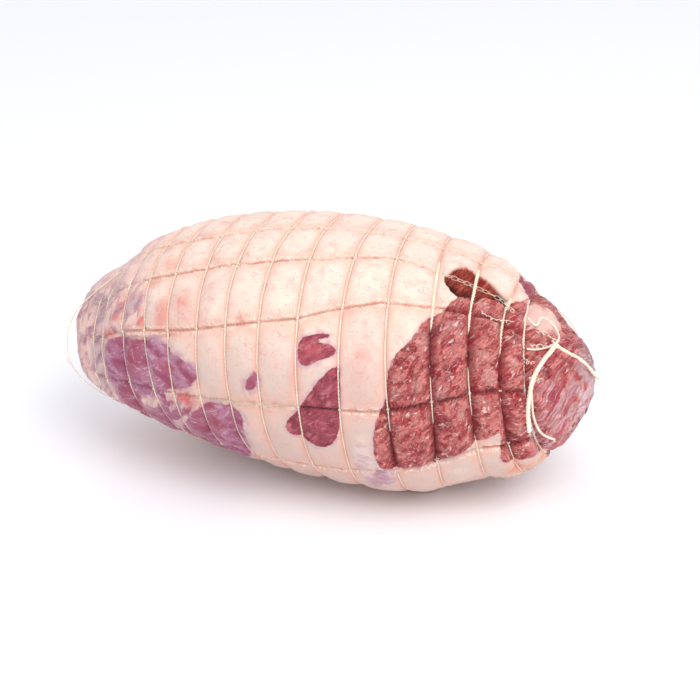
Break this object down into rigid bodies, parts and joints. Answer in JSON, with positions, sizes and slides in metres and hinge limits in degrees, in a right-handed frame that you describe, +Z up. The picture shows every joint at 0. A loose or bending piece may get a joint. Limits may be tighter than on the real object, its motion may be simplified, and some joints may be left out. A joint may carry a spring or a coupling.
{
  "type": "rolled leg of lamb",
  "caption": "Raw boned and rolled leg of lamb with a fat cap and dark lean, tied in a knitted butcher's net with loose thread ends, lying on its side.",
  "frame": {"origin": "on the surface it rests on, under the middle of the part's box", "axes": "+Z up, +X along the roll towards the broad cut end, -Y towards the side that shows the red lean face"},
  "size_m": [0.247, 0.1351, 0.1164],
  "materials": {
    "meat": "moist raw fat and lean, cream fat cap over dark red and mauve muscle",
    "thread": "undyed cotton thread, knitted"
  },
  "bodies": {
    "root": {"meat": "meat", "net": "thread"}
  },
  "joints": []
}
